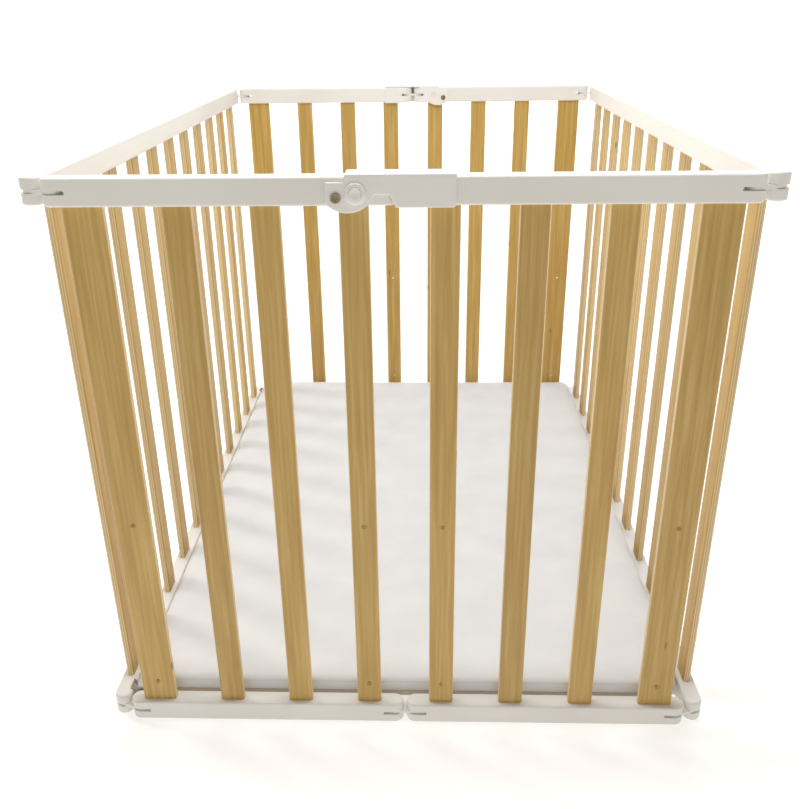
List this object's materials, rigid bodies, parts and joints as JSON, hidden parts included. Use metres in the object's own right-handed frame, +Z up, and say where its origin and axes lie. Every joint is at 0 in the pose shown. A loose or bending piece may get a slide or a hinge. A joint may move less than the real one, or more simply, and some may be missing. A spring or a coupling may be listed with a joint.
{
  "type": "folding playpen",
  "caption": "Rectangular wooden playpen with upright slats between rails, a padded floor, ends that fold at their middles on link plates, and a turning latch cover over each middle joint.",
  "frame": {"origin": "on the ground, in the middle of the playpen's base", "axes": "+X to the right along the split front panel, +Y from the front panel to the back panel along the whole side panels, +Z up"},
  "size_m": [0.75, 1.019, 0.6891],
  "materials": {
    "painted_wood": "satin white paint on solid wood",
    "lacquered_plywood": "clear satin lacquer on birch plywood",
    "white_plastic": "injection moulded, fine satin",
    "zinc_plated_steel": "zinc plated",
    "quilted_cover": "soft coated cotton over padding"
  },
  "bodies": {
    "side_left": {"side_left_top_rail": "painted_wood", "side_left_bottom_rail": "painted_wood", "side_left_slats": "lacquered_plywood", "side_left_pins": "zinc_plated_steel", "floor_pivot_plates": "zinc_plated_steel", "floor_pivot_plate_screws": "zinc_plated_steel"},
    "front_left_plates": {"front_left_top_plate": "white_plastic", "front_left_bottom_plate": "white_plastic"},
    "front_left": {"front_left_top_rail": "painted_wood", "front_left_bottom_rail": "painted_wood", "front_left_slats": "lacquered_plywood", "front_left_end_slat": "lacquered_plywood", "front_left_pins": "zinc_plated_steel", "front_latch_bolt": "zinc_plated_steel", "front_latch_sleeve_nut": "zinc_plated_steel"},
    "front_middle_plates": {"front_middle_top_plate": "white_plastic", "front_middle_bottom_plate": "white_plastic"},
    "front_right": {"front_right_top_rail": "painted_wood", "front_right_bottom_rail": "painted_wood", "front_right_slats": "lacquered_plywood", "front_right_end_slat": "lacquered_plywood", "front_right_pins": "zinc_plated_steel", "front_latch_keeper": "white_plastic"},
    "front_right_plates": {"front_right_top_plate": "white_plastic", "front_right_bottom_plate": "white_plastic"},
    "side_right": {"side_right_top_rail": "painted_wood", "side_right_bottom_rail": "painted_wood", "side_right_slats": "lacquered_plywood", "side_right_pins": "zinc_plated_steel", "floor_ledge": "painted_wood", "floor_ledge_screws": "zinc_plated_steel"},
    "back_left_plates": {"back_left_top_plate": "white_plastic", "back_left_bottom_plate": "white_plastic"},
    "back_left": {"back_left_top_rail": "painted_wood", "back_left_bottom_rail": "painted_wood", "back_left_slats": "lacquered_plywood", "back_left_end_slat": "lacquered_plywood", "back_left_pins": "zinc_plated_steel", "back_latch_keeper": "white_plastic"},
    "back_middle_plates": {"back_middle_top_plate": "white_plastic", "back_middle_bottom_plate": "white_plastic"},
    "back_right": {"back_right_top_rail": "painted_wood", "back_right_bottom_rail": "painted_wood", "back_right_slats": "lacquered_plywood", "back_right_end_slat": "lacquered_plywood", "back_right_pins": "zinc_plated_steel", "back_latch_bolt": "zinc_plated_steel", "back_latch_sleeve_nut": "zinc_plated_steel"},
    "back_right_plates": {"back_right_top_plate": "white_plastic", "back_right_bottom_plate": "white_plastic"},
    "floor": {"floor_board": "lacquered_plywood", "floor_padding": "quilted_cover", "floor_pivot_pins": "zinc_plated_steel"},
    "front_latch": {"front_latch_cover": "white_plastic", "front_latch_spring": "zinc_plated_steel"},
    "front_button": {"front_latch_button": "white_plastic"},
    "back_latch": {"back_latch_cover": "white_plastic", "back_latch_spring": "zinc_plated_steel"},
    "back_button": {"back_latch_button": "white_plastic"}
  },
  "joints": [
    {"name": "front_left_corner", "type": "hinge", "parent": "side_left", "child": "front_left_plates", "pos_m": [-0.364, -0.481, 0], "axis": [0, 0, -1], "range_deg": [0, 43]},
    {"name": "front_left_fold", "type": "hinge", "parent": "front_left_plates", "child": "front_left", "pos_m": [-0.33926, -0.489, 0], "axis": [0, 0, -1], "range_deg": [0, 43]},
    {"name": "front_middle_left", "type": "hinge", "parent": "front_left", "child": "front_middle_plates", "pos_m": [-0.013, -0.489, 0], "axis": [0, 0, 1], "range_deg": [0, 86]},
    {"name": "front_middle_right", "type": "hinge", "parent": "front_middle_plates", "child": "front_right", "pos_m": [0.013, -0.489, 0], "axis": [0, 0, 1], "range_deg": [0, 86]},
    {"name": "front_right_fold", "type": "hinge", "parent": "front_right", "child": "front_right_plates", "pos_m": [0.33926, -0.489, 0], "axis": [0, 0, -1], "range_deg": [0, 43]},
    {"name": "front_right_corner", "type": "hinge", "parent": "front_right_plates", "child": "side_right", "pos_m": [0.364, -0.481, 0], "axis": [0, 0, -1], "range_deg": [0, 43]},
    {"name": "back_left_corner", "type": "hinge", "parent": "side_left", "child": "back_left_plates", "pos_m": [-0.364, 0.481, 0], "axis": [0, 0, 1], "range_deg": [0, 43]},
    {"name": "back_left_fold", "type": "hinge", "parent": "back_left_plates", "child": "back_left", "pos_m": [-0.33926, 0.489, 0], "axis": [0, 0, 1], "range_deg": [0, 43]},
    {"name": "back_middle_left", "type": "hinge", "parent": "back_left", "child": "back_middle_plates", "pos_m": [-0.013, 0.489, 0], "axis": [0, 0, -1], "range_deg": [0, 86]},
    {"name": "back_middle_right", "type": "hinge", "parent": "back_middle_plates", "child": "back_right", "pos_m": [0.013, 0.489, 0], "axis": [0, 0, -1], "range_deg": [0, 86]},
    {"name": "back_right_fold", "type": "hinge", "parent": "back_right", "child": "back_right_plates", "pos_m": [0.33926, 0.489, 0], "axis": [0, 0, 1], "range_deg": [0, 43]},
    {"name": "floor_swing", "type": "hinge", "parent": "side_left", "child": "floor", "pos_m": [-0.327, 0, 0.024], "axis": [0, -1, 0], "range_deg": [0, 88]},
    {"name": "front_latch_turn", "type": "hinge", "parent": "front_left", "child": "front_latch", "pos_m": [-0.061, -0.489, 0.6667], "axis": [0, -1, 0], "range_deg": [0, 45]},
    {"name": "front_button_press", "type": "slide", "parent": "front_latch", "child": "front_button", "axis": [0, 1, 0], "range_m": [0, 0.0025], "stiffness_N_per_m": 200, "springref_m": -0.0005, "deforming": ["front_latch_spring"]},
    {"name": "back_latch_turn", "type": "hinge", "parent": "back_right", "child": "back_latch", "pos_m": [0.061, 0.489, 0.6667], "axis": [0, 1, 0], "range_deg": [0, 45]},
    {"name": "back_button_press", "type": "slide", "parent": "back_latch", "child": "back_button", "axis": [0, -1, 0], "range_m": [0, 0.0025], "stiffness_N_per_m": 200, "springref_m": -0.0005, "deforming": ["back_latch_spring"]}
  ],
  "couplings": [
    {"joint": "front_left_corner", "follows": "floor_swing", "ratio": 0.4886},
    {"joint": "front_left_fold", "follows": "floor_swing", "ratio": 0.4886},
    {"joint": "front_middle_left", "follows": "floor_swing", "ratio": 0.9772},
    {"joint": "front_middle_right", "follows": "floor_swing", "ratio": 0.9772},
    {"joint": "front_right_fold", "follows": "floor_swing", "ratio": 0.4886},
    {"joint": "front_right_corner", "follows": "floor_swing", "ratio": 0.4886},
    {"joint": "back_left_corner", "follows": "floor_swing", "ratio": 0.4886},
    {"joint": "back_left_fold", "follows": "floor_swing", "ratio": 0.4886},
    {"joint": "back_middle_left", "follows": "floor_swing", "ratio": 0.9772},
    {"joint": "back_middle_right", "follows": "floor_swing", "ratio": 0.9772},
    {"joint": "back_right_fold", "follows": "floor_swing", "ratio": 0.4886}
  ]
}
